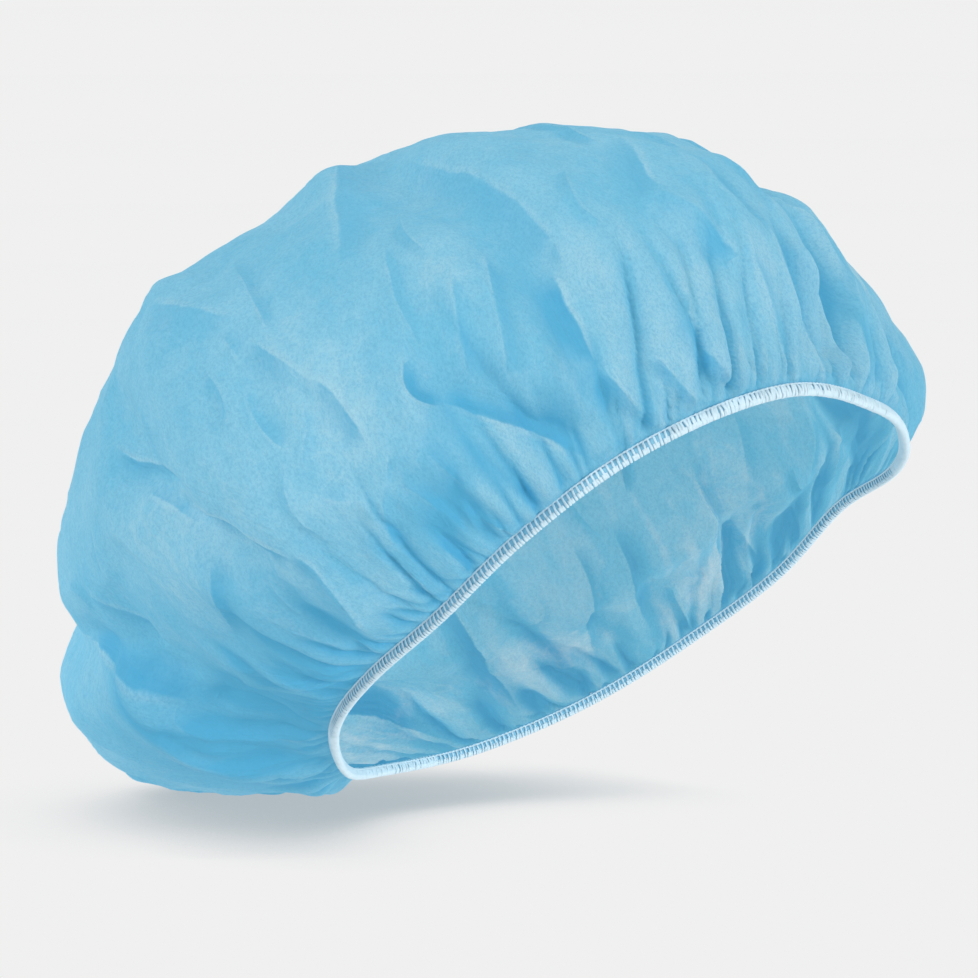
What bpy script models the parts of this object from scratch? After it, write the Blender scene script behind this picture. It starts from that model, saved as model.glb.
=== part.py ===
# Disposable bouffant cap: a round of thin nonwoven cloth, gathered on to a narrow elastic band.
# It is modelled as it sits on an upright head that faces +X, with +Z up and +Y to the wearer's left.
# The origin is the middle of the opening, which slopes from the forehead down to the nape.
# Units are metres, and a table's lengths are shares of the named sizes below.

import math

import bmesh
import bpy
from mathutils import Matrix, Vector

# The opening, where the head goes in
OPENING_LENGTH = 0.195
OPENING_WIDTH = 0.160
OPENING_TILT = math.radians(34)

# The crown, measured square to the opening and along it
CROWN_RISE = 0.133
CROWN_LENGTH = 0.250
CROWN_WIDTH = 0.238
CROWN_SET_BACK = 0.016
WALL = 0.001

# The elastic band and its seam
BAND_HEIGHT = 0.004
BAND_THICKNESS = 0.0018
SEAM_GAP = 0.0003

# The small pleats that the elastic draws up. Each sway moves them along the seam, so that they
# aren't evenly spaced: waves round the opening, the share of a pleat that it moves, and its start.
PLEAT_COUNT = 28
PLEAT_DEPTH = 0.0022
PLEAT_REACH = 0.075
PLEAT_SWAY_COLUMNS = ("waves", "share", "start")
PLEAT_SWAYS = (
    (3, 0.50, 0.0),
    (7, 0.35, 1.0),
)

# The grid that the cloth is laid out on. The puff is the part below the widest line.
COLUMNS = 112
ROWS = 21
PUFF_SHARE = 3 / 7
PUFF_ROUNDNESS = 1.6
BAND_SIDES = 8

# Each row is one direction, at equal steps from the front round by the wearer's left.
# Reach and lift shape the opening's edge, as shares of its own ellipse and length.
# Puff and widest are how far out the cloth stands and how high up it does so, sag how far it
# hangs below that curve, and fullness how square the shoulder is.
SECTION_COLUMNS = ("reach", "lift", "puff", "widest", "sag", "fullness")
SECTIONS = (
    (0.945, -0.010, 0.845, 0.30, 0.02, 1.60),
    (0.910, -0.016, 0.735, 0.29, 0.02, 2.55),
    (0.950, -0.005, 0.865, 0.28, -0.01, 2.70),
    (0.985, 0.024, 0.970, 0.28, -0.06, 2.55),
    (1.005, 0.008, 1.040, 0.30, -0.08, 2.30),
    (1.000, 0.001, 1.120, 0.33, -0.10, 2.05),
    (1.000, -0.005, 1.225, 0.38, -0.11, 1.85),
    (0.985, -0.003, 1.325, 0.44, -0.12, 1.45),
    (0.970, 0.002, 1.395, 0.45, -0.04, 1.15),
    (0.940, -0.016, 1.205, 0.43, -0.03, 1.40),
    (0.950, -0.002, 1.020, 0.45, 0.01, 2.40),
    (0.975, -0.007, 0.970, 0.42, 0.01, 2.75),
    (0.985, -0.010, 1.045, 0.35, 0.02, 1.95),
    (1.015, 0.008, 0.955, 0.28, 0.00, 1.80),
    (1.035, 0.024, 0.880, 0.25, 0.00, 2.15),
    (1.040, 0.018, 0.875, 0.27, 0.01, 1.85),
)

# Each row is one fold, drawn from one place on the cloth to another. A place is a direction in
# degrees and a height from the band, 0, to the top, 1. Width and depth are shares of the crown's
# rise. A positive depth is a ridge, and lean is how much of it stands up again on its right.
FOLD_COLUMNS = ("from_deg", "from_up", "to_deg", "to_up", "width", "depth", "lean")
FOLDS = (
    (-57, 0.84, -44, 0.40, 0.080, -0.048, -0.6),
    (-45, 0.48, -41, 0.06, 0.075, -0.030, -0.4),
    (-67, 0.48, -51, 0.02, 0.075, -0.055, 0.6),
    (-118, 0.62, -97, 0.28, 0.080, -0.045, 0.5),
    (-99, 0.38, -101, 0.06, 0.075, -0.030, 0.4),
    (-168, 0.58, -132, 0.30, 0.085, -0.070, 0.2),
    (-132, 0.42, -136, 0.02, 0.100, -0.060, 0.4),
    (-135, 0.32, -150, 0.03, 0.075, -0.040, 0.4),
    (-92, 0.60, -79, 0.36, 0.085, -0.025, 0.4),
    (50, 0.66, 0, 0.54, 0.075, -0.050, -0.4),
    (4, 0.60, -14, 0.04, 0.075, -0.045, -0.4),
    (-25, 0.48, -21, 0.03, 0.075, -0.030, 0.4),
    (-38, 0.46, -30, 0.04, 0.075, -0.025, 0.4),
    (-87, 0.30, -88, 0.04, 0.075, -0.025, 0.4),
    (-110, 0.72, -82, 0.52, 0.110, 0.035, 0.0),
    (-50, 0.66, -60, 0.42, 0.090, 0.025, 0.0),
    (-58, 0.68, -70, 0.90, 0.100, 0.040, 0.0),
    (40, 0.54, 48, 0.14, 0.085, -0.040, 0.5),
    (66, 0.74, 84, 0.30, 0.090, -0.040, -0.5),
    (104, 0.52, 98, 0.10, 0.080, -0.040, 0.5),
    (128, 0.66, 140, 0.22, 0.100, -0.045, 0.4),
    (160, 0.44, 152, 0.08, 0.100, -0.050, -0.4),
    (172, 0.66, 192, 0.36, 0.110, -0.045, 0.4),
    (120, 0.86, 60, 0.84, 0.100, -0.025, 0.4),
)
FOLD_STEPS = 9
FOLD_SPREAD = 4.0
SHOULDER_OFFSET = 1.5
FADE_POWER = 0.6
SEAM_CALM = 0.012
SMALL_STEP = 0.02


def clear_scene():
    for obj in list(bpy.data.objects):
        bpy.data.objects.remove(obj)


def around(column, turn):
    """The value of a column of SECTIONS in one direction, smoothly between its rows."""
    place = turn / math.tau * len(SECTIONS)
    first = math.floor(place)
    along = place - first
    index = SECTION_COLUMNS.index(column)
    before, start, end, after = (SECTIONS[(first + k) % len(SECTIONS)][index] for k in (-1, 0, 1, 2))
    slope_in, slope_out = (end - before) / 2, (after - start) / 2
    rise = end - start
    curve = slope_in + (3 * rise - 2 * slope_in - slope_out) * along
    return start + along * (curve + (slope_in + slope_out - 2 * rise) * along * along)


def ellipse_radius(turn, length, width):
    return 1 / math.hypot(math.cos(turn) * 2 / length, math.sin(turn) * 2 / width)


def opening_edge(turn):
    """Distance from the middle of the opening, and height over it, of the band's centre line."""
    reach = around("reach", turn) * ellipse_radius(turn, OPENING_LENGTH, OPENING_WIDTH)
    return reach, around("lift", turn) * OPENING_LENGTH


def place_in_opening(turn, distance, height, back=0.0):
    return Vector((distance * math.cos(turn) - back, distance * math.sin(turn), height))


def cloth_point(turn, up):
    """A point of the smooth cloth: up is 0 at the seam on the band and 1 at the top of the crown."""
    edge, edge_height = opening_edge(turn)
    seam_height = edge_height + BAND_HEIGHT / 2 + SEAM_GAP
    puff = around("puff", turn) * ellipse_radius(turn, CROWN_LENGTH, CROWN_WIDTH)
    widest = around("widest", turn) * CROWN_RISE
    if up < PUFF_SHARE:
        along = up / PUFF_SHARE
        swing = math.pi / 2 * (1 - along)
        distance = edge + (puff - edge) * math.cos(swing) ** (2 / PUFF_ROUNDNESS)
        height = widest + (seam_height - widest) * math.sin(swing)
        sag = around("sag", turn) * CROWN_RISE * math.sin(math.pi * along) ** 2
        return place_in_opening(turn, distance, height - sag)
    swing = math.pi / 2 * (up - PUFF_SHARE) / (1 - PUFF_SHARE)
    distance = puff * max(math.cos(swing), 0.0) ** (2 / around("fullness", turn))
    height = widest + (CROWN_RISE - widest) * math.sin(swing)
    return place_in_opening(turn, distance, height, CROWN_SET_BACK * math.sin(swing) ** 2)


def pleat_height(turn, distance_up):
    """How far a small pleat stands off the cloth: nothing at the seam, most soon above it."""
    if distance_up >= PLEAT_REACH:
        return 0.0
    sways = [dict(zip(PLEAT_SWAY_COLUMNS, row)) for row in PLEAT_SWAYS]
    wander = sum(sway["share"] * math.sin(sway["waves"] * turn + sway["start"]) for sway in sways)
    share = distance_up / PLEAT_REACH
    swell = 3 * math.sqrt(share) * (1 - share) ** 2
    return PLEAT_DEPTH * swell * math.sin(PLEAT_COUNT * turn + wander)


def fold_path(fold):
    """The stretches that a fold runs through on the smooth cloth: start, end and way to its right."""
    places = []
    for step in range(FOLD_STEPS):
        along = step / (FOLD_STEPS - 1)
        turn = math.radians(fold["from_deg"] + (fold["to_deg"] - fold["from_deg"]) * along)
        up = fold["from_up"] + (fold["to_up"] - fold["from_up"]) * along
        places.append((turn, up))
    path = []
    for (turn, up), (next_turn, next_up) in zip(places, places[1:]):
        start, end = cloth_point(turn, up), cloth_point(next_turn, next_up)
        across = cloth_point(turn + SMALL_STEP, up) - start
        facing_out = across.cross(cloth_point(turn, up + SMALL_STEP) - start)
        path.append((start, end, (end - start).cross(facing_out)))
    return path


def fold_height(fold, path, point):
    """How far a fold lifts or sinks the cloth at one point."""
    width = fold["width"] * CROWN_RISE
    nearest, share, turned = math.inf, 0.0, 0.0
    for step, (start, end, to_right) in enumerate(path):
        run = end - start
        along = max(0.0, min(1.0, (point - start).dot(run) / run.length_squared))
        gap = point - (start + run * along)
        if gap.length < nearest:
            nearest, turned = gap.length, gap.dot(to_right)
            share = (step + along) / len(path)
    if nearest > FOLD_SPREAD * width:
        return 0.0
    fade = max(0.0, math.sin(math.pi * share)) ** FADE_POWER
    across = math.copysign(nearest, turned) / width
    trough = math.exp(-(across**2))
    shoulder = math.exp(-((across - math.copysign(SHOULDER_OFFSET, fold["lean"])) ** 2))
    return fold["depth"] * CROWN_RISE * fade * (trough - abs(fold["lean"]) * shoulder)


def facing(lines, top):
    """The way that each point of the rows of cloth faces."""
    normals = []
    for row, line in enumerate(lines):
        above = lines[row + 1] if row + 1 < len(lines) else [top] * COLUMNS
        below = lines[row - 1] if row else line
        faces = []
        for column in range(COLUMNS):
            across = line[(column + 1) % COLUMNS] - line[column - 1]
            faces.append(across.cross(above[column] - below[column]).normalized())
        normals.append(faces)
    return normals


def cloth_rows():
    """Rows of cloth points from the seam up, pleated and folded, and the point at the top."""
    turns = [math.tau * column / COLUMNS for column in range(COLUMNS)]
    smooth = [[cloth_point(turn, row / ROWS) for turn in turns] for row in range(ROWS)]
    top = cloth_point(0.0, 1.0)
    normals = facing(smooth, top)
    folds = [dict(zip(FOLD_COLUMNS, row)) for row in FOLDS]
    paths = [fold_path(fold) for fold in folds]
    climbed = [0.0] * COLUMNS
    lines = []
    for row, line in enumerate(smooth):
        moved = []
        for column, point in enumerate(line):
            if row:
                climbed[column] += (point - smooth[row - 1][column]).length
            normal = normals[row][column]
            settled = min(1.0, climbed[column] / SEAM_CALM)
            depths = [fold_height(fold, path, point) for fold, path in zip(folds, paths)]
            lift = pleat_height(turns[column], climbed[column]) + settled * sum(depths)
            moved.append(point + normal * lift)
        lines.append(moved)
    return lines, top


def outward(column):
    turn = math.tau * column / COLUMNS
    return Vector((math.cos(turn), math.sin(turn), 0.0))


def join_rings(mesh, rings, reverse=False):
    for lower, upper in zip(rings, rings[1:]):
        for column in range(len(lower)):
            right = (column + 1) % len(lower)
            corners = [lower[column], lower[right], upper[right], upper[column]]
            mesh.faces.new(corners[::-1] if reverse else corners)


def close_top(mesh, ring, top, reverse=False):
    for column in range(len(ring)):
        corners = [ring[column], ring[(column + 1) % len(ring)], top]
        mesh.faces.new(corners[::-1] if reverse else corners)


def crown_mesh():
    """The cloth as a wall: an outer and an inner skin that meet along the seam."""
    lines, top = cloth_rows()
    normals = facing(lines, top)
    mesh = bmesh.new()
    outer, inner = [], []
    for row, line in enumerate(lines):
        outer_ring, inner_ring = [], []
        for column, point in enumerate(line):
            across = normals[row][column] if row else outward(column)
            outer_ring.append(mesh.verts.new(point + across * (WALL / 2)))
            inner_ring.append(mesh.verts.new(point - across * (WALL / 2)))
        outer.append(outer_ring)
        inner.append(inner_ring)
    up = Vector((0.0, 0.0, WALL / 2))
    join_rings(mesh, outer)
    close_top(mesh, outer[-1], mesh.verts.new(top + up))
    join_rings(mesh, inner, reverse=True)
    close_top(mesh, inner[-1], mesh.verts.new(top - up), reverse=True)
    join_rings(mesh, [inner[0], outer[0]])
    return mesh


def band_mesh():
    """The elastic band: a flat strip with round edges, swept round the opening."""
    mesh = bmesh.new()
    rings = []
    for side in range(BAND_SIDES):
        swing = math.tau * (side + 0.5) / BAND_SIDES
        round_off = 1 / math.cos(math.pi / BAND_SIDES)
        out = math.cos(swing) * round_off * BAND_THICKNESS / 2
        rise = math.sin(swing) * round_off * BAND_HEIGHT / 2
        ring = []
        for column in range(COLUMNS):
            turn = math.tau * column / COLUMNS
            edge, height = opening_edge(turn)
            ring.append(mesh.verts.new(place_in_opening(turn, edge + out, height + rise)))
        rings.append(ring)
    join_rings(mesh, [*rings, rings[0]])
    return mesh


def material(name, colour, roughness):
    made = bpy.data.materials.new(name)
    made.use_nodes = True
    shader = made.node_tree.nodes["Principled BSDF"]
    shader.inputs["Base Color"].default_value = (*colour, 1.0)
    shader.inputs["Roughness"].default_value = roughness
    shader.inputs["Metallic"].default_value = 0.0
    return made


def add_object(name, mesh, finish, on_head):
    """Puts a piece in the scene, carried by the empty that tips the opening up at the forehead."""
    bmesh.ops.recalc_face_normals(mesh, faces=mesh.faces)
    data = bpy.data.meshes.new(name)
    mesh.to_mesh(data)
    mesh.free()
    data.shade_smooth()
    data.materials.append(finish)
    made = bpy.data.objects.new(name, data)
    bpy.context.scene.collection.objects.link(made)
    made.parent = on_head
    return made


def build():
    clear_scene()
    on_head = bpy.data.objects.new("head_seat", None)
    on_head.matrix_world = Matrix.Rotation(-OPENING_TILT, 4, "Y")
    bpy.context.scene.collection.objects.link(on_head)
    cloth = material("blue_nonwoven", (0.20, 0.52, 0.72), 0.85)
    elastic = material("white_elastic", (0.72, 0.84, 0.90), 0.8)
    add_object("crown", crown_mesh(), cloth, on_head)
    add_object("elastic_band", band_mesh(), elastic, on_head)


build()
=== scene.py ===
# %% [markdown]
# # A disposable bouffant cap
#
# A round of thin blue nonwoven cloth, 48 cm across, gathered on to a narrow white elastic edge.
# Here it sits as if on a head that faces the right of the picture. This file makes its looks:
# the thin pleated cloth, the overlocked edge, the light and the view.

import math
import time

import bpy
import numpy as np
from mathutils import Matrix, Vector, noise


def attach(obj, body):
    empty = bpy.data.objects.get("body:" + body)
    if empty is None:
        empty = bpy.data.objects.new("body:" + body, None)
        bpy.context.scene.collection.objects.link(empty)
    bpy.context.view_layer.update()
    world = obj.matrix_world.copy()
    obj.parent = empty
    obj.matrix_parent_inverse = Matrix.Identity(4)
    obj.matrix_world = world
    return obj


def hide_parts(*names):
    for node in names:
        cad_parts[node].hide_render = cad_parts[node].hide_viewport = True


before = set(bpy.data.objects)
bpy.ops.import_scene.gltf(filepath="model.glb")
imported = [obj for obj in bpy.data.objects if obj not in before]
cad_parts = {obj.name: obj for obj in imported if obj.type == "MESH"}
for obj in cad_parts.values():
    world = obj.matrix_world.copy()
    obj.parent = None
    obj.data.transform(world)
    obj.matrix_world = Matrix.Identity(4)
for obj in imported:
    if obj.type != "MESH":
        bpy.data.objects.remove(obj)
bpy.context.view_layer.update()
started = time.time()

# %% [markdown]
# ## Sizes
#
# Lengths are in metres. The opening is an oval that slopes from the forehead down to the nape,
# so every point is first worked out square to the opening and then tipped with it.

# %%
# Named sizes of the cap
OPENING_LENGTH = 0.195
OPENING_WIDTH = 0.160
OPENING_TILT = math.radians(34)
CROWN_RISE = 0.133
CROWN_LENGTH = 0.250
CROWN_WIDTH = 0.238
CROWN_SET_BACK = 0.016
FLAT_ROUND = 0.48
BAND_HEIGHT = 0.004
BAND_THICKNESS = 0.0018
SEAM_LAP = 0.0007
EDGE_SEEN = 0.0031
PUFF_SHARE = 3 / 7
PUFF_ROUNDNESS = 1.6

# Each row is one direction, at equal steps from the front round by the wearer's left
SECTION_COLUMNS = ("reach", "lift", "puff", "widest", "sag", "fullness")
SECTIONS = np.array((
    (0.945, -0.010, 0.845, 0.30, 0.02, 1.60),
    (0.910, -0.016, 0.735, 0.29, 0.02, 2.55),
    (0.950, -0.005, 0.865, 0.28, -0.01, 2.70),
    (0.985, 0.024, 0.970, 0.28, -0.06, 2.55),
    (1.005, 0.008, 1.040, 0.30, -0.08, 2.30),
    (1.000, 0.001, 1.120, 0.33, -0.10, 2.05),
    (1.000, -0.005, 1.225, 0.38, -0.11, 1.85),
    (0.985, -0.003, 1.325, 0.44, -0.12, 1.45),
    (0.970, 0.002, 1.395, 0.45, -0.04, 1.15),
    (0.940, -0.016, 1.205, 0.43, -0.03, 1.40),
    (0.950, -0.002, 1.020, 0.45, 0.01, 2.40),
    (0.975, -0.007, 0.970, 0.42, 0.01, 2.75),
    (0.985, -0.010, 1.045, 0.35, 0.02, 1.95),
    (1.015, 0.008, 0.955, 0.28, 0.00, 1.80),
    (1.035, 0.024, 0.880, 0.25, 0.00, 2.15),
    (1.040, 0.018, 0.875, 0.27, 0.01, 1.85),
))

# %% [markdown]
# ## The shape of the cloth
#
# The cap is a puffed bowl: its cloth bulges out over the elastic edge, is widest a little above
# it, and closes over the crown. A direction round the opening and a height from the edge, 0, to
# the top, 1, name any place on it.

# %%
# The smooth cloth
def put_in_scene(name, data):
    made = bpy.data.objects.new(name, data)
    bpy.context.scene.collection.objects.link(made)
    return made


def around(column, turn):
    """A column of SECTIONS in any direction, smoothly between its rows."""
    count = len(SECTIONS)
    values = SECTIONS[:, SECTION_COLUMNS.index(column)]
    place = np.asarray(turn) / math.tau * count
    first = np.floor(place).astype(int)
    along = place - first
    before, start, end, after = (values[(first + k) % count] for k in (-1, 0, 1, 2))
    slope_in, slope_out = (end - before) / 2, (after - start) / 2
    rise = end - start
    curve = slope_in + (3 * rise - 2 * slope_in - slope_out) * along
    return start + along * (curve + (slope_in + slope_out - 2 * rise) * along**2)


def ellipse_radius(turn, length, width):
    return 1 / np.hypot(np.cos(turn) * 2 / length, np.sin(turn) * 2 / width)


def opening_edge(turn):
    """Distance from the middle of the opening and height over it of the band's centre line."""
    reach = around("reach", turn) * ellipse_radius(turn, OPENING_LENGTH, OPENING_WIDTH)
    return reach, around("lift", turn) * OPENING_LENGTH


def cloth_point(turn, up):
    turn, up = np.broadcast_arrays(np.asarray(turn, float), np.asarray(up, float))
    edge, edge_height = opening_edge(turn)
    seam = edge_height + BAND_HEIGHT / 2 - SEAM_LAP
    puff = around("puff", turn) * ellipse_radius(turn, CROWN_LENGTH, CROWN_WIDTH)
    widest = around("widest", turn) * CROWN_RISE
    along = np.clip(up / PUFF_SHARE, 0, 1)
    swing = math.pi / 2 * (1 - along)
    low_distance = edge + (puff - edge) * np.clip(np.cos(swing), 0, 1) ** (2 / PUFF_ROUNDNESS)
    sag = around("sag", turn) * CROWN_RISE * np.sin(math.pi * along) ** 2
    low_height = widest + (seam - widest) * np.sin(swing) - sag
    swing = math.pi / 2 * np.clip((up - PUFF_SHARE) / (1 - PUFF_SHARE), 0, 1)
    high_distance = puff * np.clip(np.cos(swing), 0, 1) ** (2 / around("fullness", turn))
    high_height = widest + (CROWN_RISE - widest) * np.sin(swing)
    low = up < PUFF_SHARE
    distance = np.where(low, low_distance, high_distance)
    height = np.where(low, low_height, high_height)
    back = np.where(low, 0, CROWN_SET_BACK * np.sin(swing) ** 2)
    return np.stack([distance * np.cos(turn) - back, distance * np.sin(turn), height], -1)


print("top of the crown", cloth_point(0.0, 1.0).round(4))

# %% [markdown]
# ## The flat round of cloth
#
# The real cap is cut as a flat round, so its mesh is one too: a square grid pressed into a
# circle, which has no point at its middle where faces would crowd. Each point knows its place on
# the flat round, which later guides the fibres, and that place says where it goes on the cap.

# %%
# A square grid pressed into a circle
def flat_round(cells):
    line = np.linspace(-1, 1, cells + 1)
    across, along = np.meshgrid(line, line, indexing="ij")
    wide = np.abs(across) > np.abs(along)
    radius = np.where(wide, across, along)
    small = np.where(wide, along, across)
    ratio = small / np.where(np.abs(radius) < 1e-9, 1, radius)
    angle = np.where(wide, math.pi / 4 * ratio, math.pi / 2 - math.pi / 4 * ratio)
    return np.stack([radius * np.cos(angle), radius * np.sin(angle)], -1)


LOOK_TURNS = 256
LOOK_UPS = 200


def climb_tables():
    """For each direction: the height that goes with each share of the way in, and its length."""
    turns = math.tau * np.arange(LOOK_TURNS) / LOOK_TURNS
    ups = np.linspace(0, 1, LOOK_UPS)
    points = cloth_point(turns[:, None], ups[None])
    steps = np.linalg.norm(np.diff(points, axis=1), axis=-1)
    climbed = np.concatenate([np.zeros((LOOK_TURNS, 1)), np.cumsum(steps, axis=1)], axis=1)
    length = climbed[:, -1]
    shares = np.linspace(0, 1, LOOK_UPS)
    heights = np.stack([np.interp(shares, row / row[-1], ups) for row in climbed])
    return heights, length


def look_up(table, turn, share=None):
    place = (turn / math.tau * LOOK_TURNS) % LOOK_TURNS
    first = np.floor(place).astype(int) % LOOK_TURNS
    after = (first + 1) % LOOK_TURNS
    along = place - np.floor(place)
    if share is None:
        return table[first] * (1 - along) + table[after] * along
    column = np.clip(share, 0, 1) * (LOOK_UPS - 1)
    low = np.minimum(np.floor(column).astype(int), LOOK_UPS - 2)
    rest = column - low
    start = table[first, low] * (1 - rest) + table[first, low + 1] * rest
    end = table[after, low] * (1 - rest) + table[after, low + 1] * rest
    return start * (1 - along) + end * along


heights_in, way_up = climb_tables()
print("way from the edge to the top", way_up.min().round(4), way_up.max().round(4))

# %% [markdown]
# ## Folds
#
# Loose cloth that is drawn in at its edge hangs in folds. Each long fold is a trough, or a ridge,
# that runs from one place on the cloth to another, with a lip on one side where it laps over.

# %%
# The long folds, and five small ones last that round off its corners: directions in degrees,
# heights from the edge to the top, shares of the rise
FOLD_COLUMNS = ("from_deg", "from_up", "to_deg", "to_up", "width", "depth", "lean")
FOLDS = (
    (-57, 0.84, -44, 0.40, 0.080, -0.048, -0.6),
    (-45, 0.48, -41, 0.06, 0.075, -0.030, -0.4),
    (-67, 0.48, -51, 0.02, 0.075, -0.055, 0.6),
    (-118, 0.62, -97, 0.28, 0.080, -0.045, 0.5),
    (-99, 0.38, -101, 0.06, 0.075, -0.030, 0.4),
    (-168, 0.58, -132, 0.30, 0.085, -0.070, 0.2),
    (-132, 0.42, -136, 0.02, 0.100, -0.060, 0.4),
    (-135, 0.32, -150, 0.03, 0.075, -0.040, 0.4),
    (-92, 0.60, -79, 0.36, 0.085, -0.025, 0.4),
    (50, 0.66, 0, 0.54, 0.075, -0.050, -0.4),
    (4, 0.60, -14, 0.04, 0.075, -0.045, -0.4),
    (-25, 0.48, -21, 0.03, 0.075, -0.030, 0.4),
    (-38, 0.46, -30, 0.04, 0.075, -0.025, 0.4),
    (-87, 0.30, -88, 0.04, 0.075, -0.025, 0.4),
    (-110, 0.72, -82, 0.52, 0.110, 0.035, 0.0),
    (-50, 0.66, -60, 0.42, 0.090, 0.025, 0.0),
    (-58, 0.68, -70, 0.90, 0.100, 0.040, 0.0),
    (40, 0.54, 48, 0.14, 0.085, -0.040, 0.5),
    (66, 0.74, 84, 0.30, 0.090, -0.040, -0.5),
    (104, 0.52, 98, 0.10, 0.080, -0.040, 0.5),
    (128, 0.66, 140, 0.22, 0.100, -0.045, 0.4),
    (160, 0.44, 152, 0.08, 0.100, -0.050, -0.4),
    (172, 0.66, 192, 0.36, 0.110, -0.045, 0.4),
    (120, 0.86, 60, 0.84, 0.100, -0.025, 0.4),
    (-104, 0.74, -90, 0.67, 0.045, 0.024, 0.0),
    (-68, 0.77, -50, 0.80, 0.060, 0.024, 0.0),
    (-16, 0.47, 4, 0.54, 0.045, -0.016, 0.0),
    (-4, 0.46, 28, 0.26, 0.120, -0.010, 0.0),
    (-181, 0.08, -166, 0.07, 0.050, 0.022, 0.0),
)
FOLD_STEPS = 9
SHOULDER_OFFSET = 1.5
FADE_POWER = 0.6
SMALL_STEP = 0.02
FAR = 1e9


def path_on_cloth(turn, up):
    """The places that a path runs through, and the way to its right along each stretch."""
    places = cloth_point(turn, up)
    outward = np.cross(cloth_point(turn + SMALL_STEP, up) - places,
                       cloth_point(turn, up + SMALL_STEP) - places)
    return places, np.cross(places[1:] - places[:-1], outward[:-1])


def nearest_on_path(points, places, right):
    """Distance from a path, negative on its left, and how much of the path has gone by there."""
    nearest = np.full(points.shape[:-1], FAR)
    share = np.zeros_like(nearest)
    turned = np.zeros_like(nearest)
    for step in range(len(places) - 1):
        run = places[step + 1] - places[step]
        along = np.clip(((points - places[step]) @ run) / (run @ run), 0, 1)
        gap = points - (places[step] + run * along[..., None])
        distance = np.linalg.norm(gap, axis=-1)
        closer = distance < nearest
        nearest = np.where(closer, distance, nearest)
        share = np.where(closer, (step + along) / (len(places) - 1), share)
        turned = np.where(closer, gap @ right[step], turned)
    return np.copysign(nearest, turned), share


def fold_height(fold, points):
    along = np.linspace(0, 1, FOLD_STEPS)
    turn = np.radians(fold["from_deg"] + (fold["to_deg"] - fold["from_deg"]) * along)
    up = fold["from_up"] + (fold["to_up"] - fold["from_up"]) * along
    across, share = nearest_on_path(points, *path_on_cloth(turn, up))
    across = across / (fold["width"] * CROWN_RISE)
    fade = np.clip(np.sin(math.pi * share), 0, 1) ** FADE_POWER
    trough = np.exp(-(across**2))
    shoulder = np.exp(-((across - math.copysign(SHOULDER_OFFSET, fold["lean"])) ** 2))
    return fold["depth"] * CROWN_RISE * fade * (trough - abs(fold["lean"]) * shoulder)
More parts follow.
